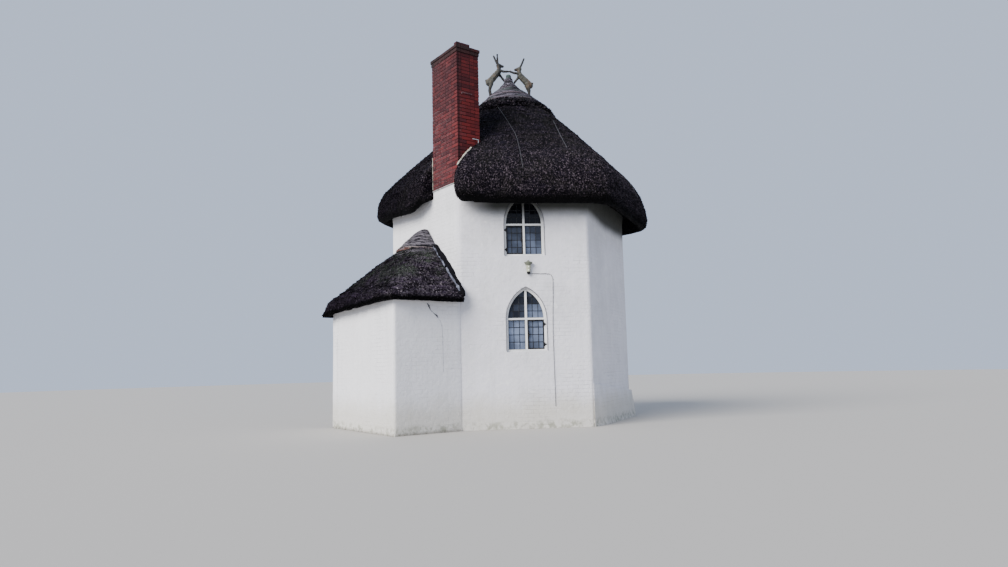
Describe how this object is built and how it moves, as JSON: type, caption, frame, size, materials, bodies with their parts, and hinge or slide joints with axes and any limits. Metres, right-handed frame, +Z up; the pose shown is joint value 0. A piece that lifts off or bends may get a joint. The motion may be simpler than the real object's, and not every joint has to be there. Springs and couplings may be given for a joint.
{
  "type": "thatched cottage",
  "caption": "Six-sided limewashed cottage of two storeys under a round thatched roof, with a brick chimney, a thatched lean-to and straw hare finials.",
  "frame": {"origin": "centre of the six-sided plan at ground level, on the underside of the ground floor", "axes": "+Z up, -Y out of the front wall, +X to the right seen from the front; the lean-to and the chimney are on the left wall"},
  "size_m": [7.5291, 6.4547, 8.752],
  "materials": {
    "limewash": "rough limewashed rubble wall, brushed coats, stained low down",
    "brick": "weathered red brick in pale lime mortar, sooty at the top",
    "thatch": "old dark reed thatch, cut ends showing, matt",
    "reed": "reed cap with tied bands, mossy",
    "straw": "bound pale straw, weathered",
    "floor": "worn stone paving",
    "boards": "oiled floor boards",
    "white_paint": "white gloss paint on timber",
    "iron": "black painted wrought iron",
    "glass": "leaded window glass",
    "door_paint": "dark painted planks",
    "lamp_metal": "pale painted metal",
    "cable": "matt sheath"
  },
  "bodies": {
    "root": {"wall_front": "limewash", "wall_right": "limewash", "wall_back_right": "limewash", "wall_back": "limewash", "wall_back_left": "limewash", "wall_left": "limewash", "plinth_right": "limewash", "plinth_back_right": "limewash", "ground_floor": "floor", "upper_floor": "boards", "door_frame": "white_paint", "back_door": "door_paint", "door_step": "floor", "window_frame_front_lower": "white_paint", "window_glass_front_lower": "glass", "window_casement_front_lower": "iron", "window_frame_front_upper": "white_paint", "window_glass_front_upper": "glass", "window_casement_front_upper": "iron", "window_frame_back_right_lower": "white_paint", "window_glass_back_right_lower": "glass", "window_frame_back_right_upper": "white_paint", "window_glass_back_right_upper": "glass", "window_frame_back_left_lower": "white_paint", "window_glass_back_left_lower": "glass", "window_frame_back_left_upper": "white_paint", "window_glass_back_left_upper": "glass", "chimney_breast": "limewash", "chimney_base": "limewash", "chimney_stack": "brick", "chimney_band": "brick", "chimney_crown": "brick", "main_thatch": "thatch", "main_thatch_cap": "reed", "finial_tip": "reed", "hare_left": "straw", "hare_right": "straw", "annex_wall_front": "limewash", "annex_wall_outer": "limewash", "annex_wall_rear": "limewash", "annex_floor": "floor", "annex_thatch": "thatch", "annex_thatch_cap": "reed", "wall_lamp": "lamp_metal", "lamp_cable": "cable"}
  },
  "joints": []
}
